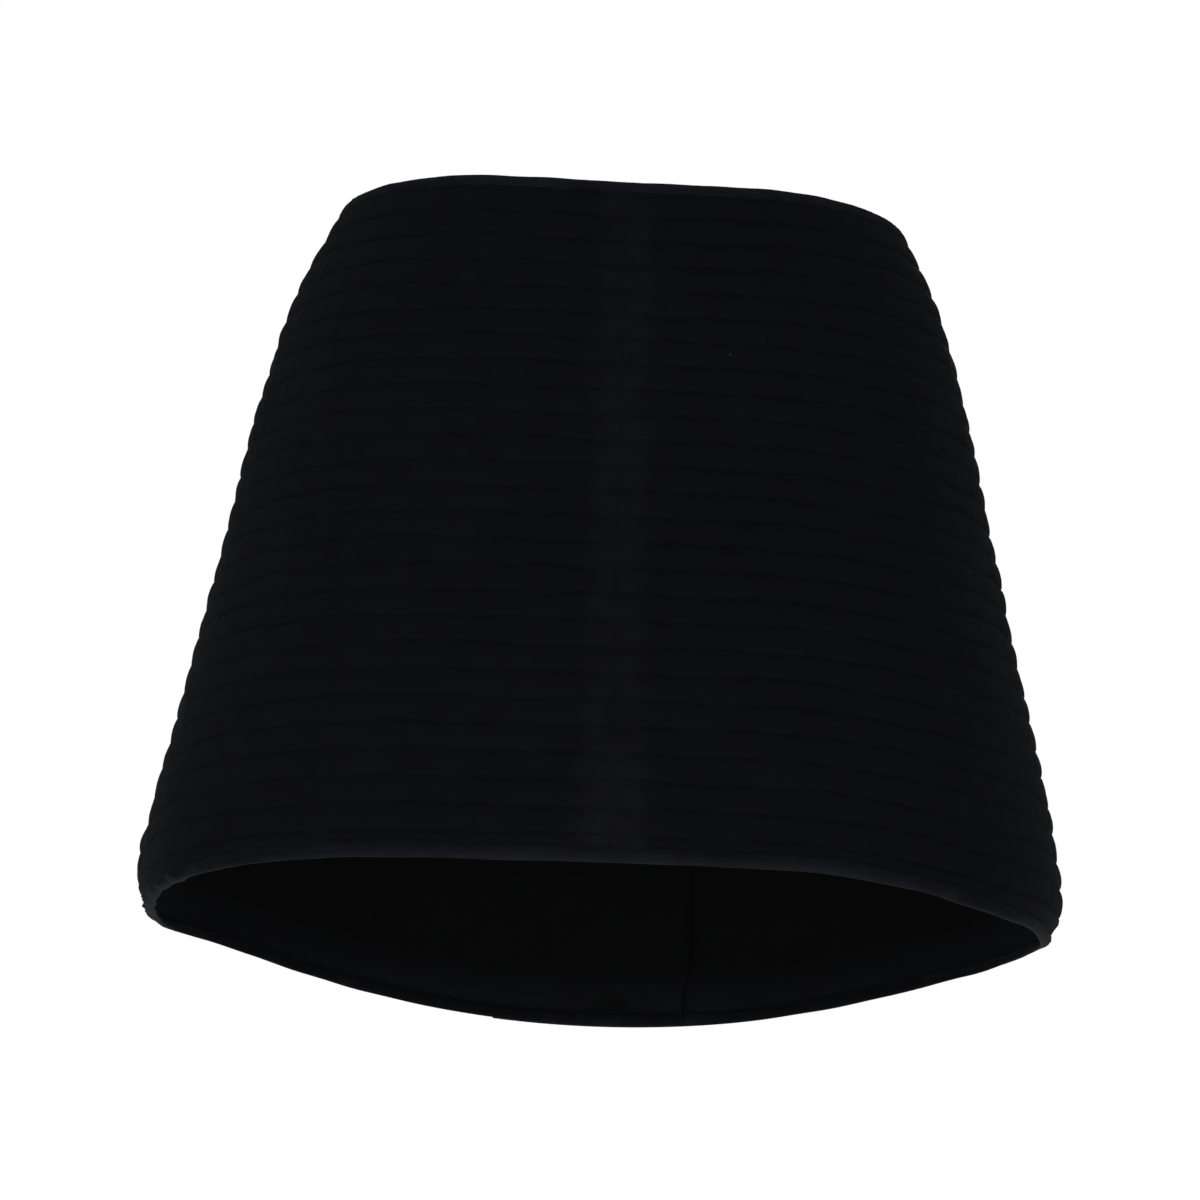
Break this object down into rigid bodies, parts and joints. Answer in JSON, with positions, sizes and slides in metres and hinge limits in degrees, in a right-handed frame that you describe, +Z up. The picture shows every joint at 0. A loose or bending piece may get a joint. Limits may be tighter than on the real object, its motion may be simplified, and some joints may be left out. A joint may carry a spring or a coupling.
{
  "type": "wrap skirt",
  "caption": "Short A-line wrap skirt in horizontally ribbed quilted cloth, held open in its worn form, with a centre-front seam, a lapped back and narrow bindings.",
  "frame": {"origin": "middle of the waist opening, level with the waist edge at the side seams, where the wearer's waist holds the skirt up", "axes": "+Z up out of the waist opening, +X towards the wearer's left, -Y towards the front"},
  "size_m": [0.4266, 0.3091, 0.3664],
  "materials": {
    "ribbed_cloth": "matte blue-black quilted cloth",
    "binding": "matte blue-black plain binding"
  },
  "bodies": {
    "root": {"front_left": "ribbed_cloth", "front_right": "ribbed_cloth", "back_over": "ribbed_cloth", "back_under": "ribbed_cloth", "waist_binding": "binding", "hem_binding": "binding"}
  },
  "joints": []
}
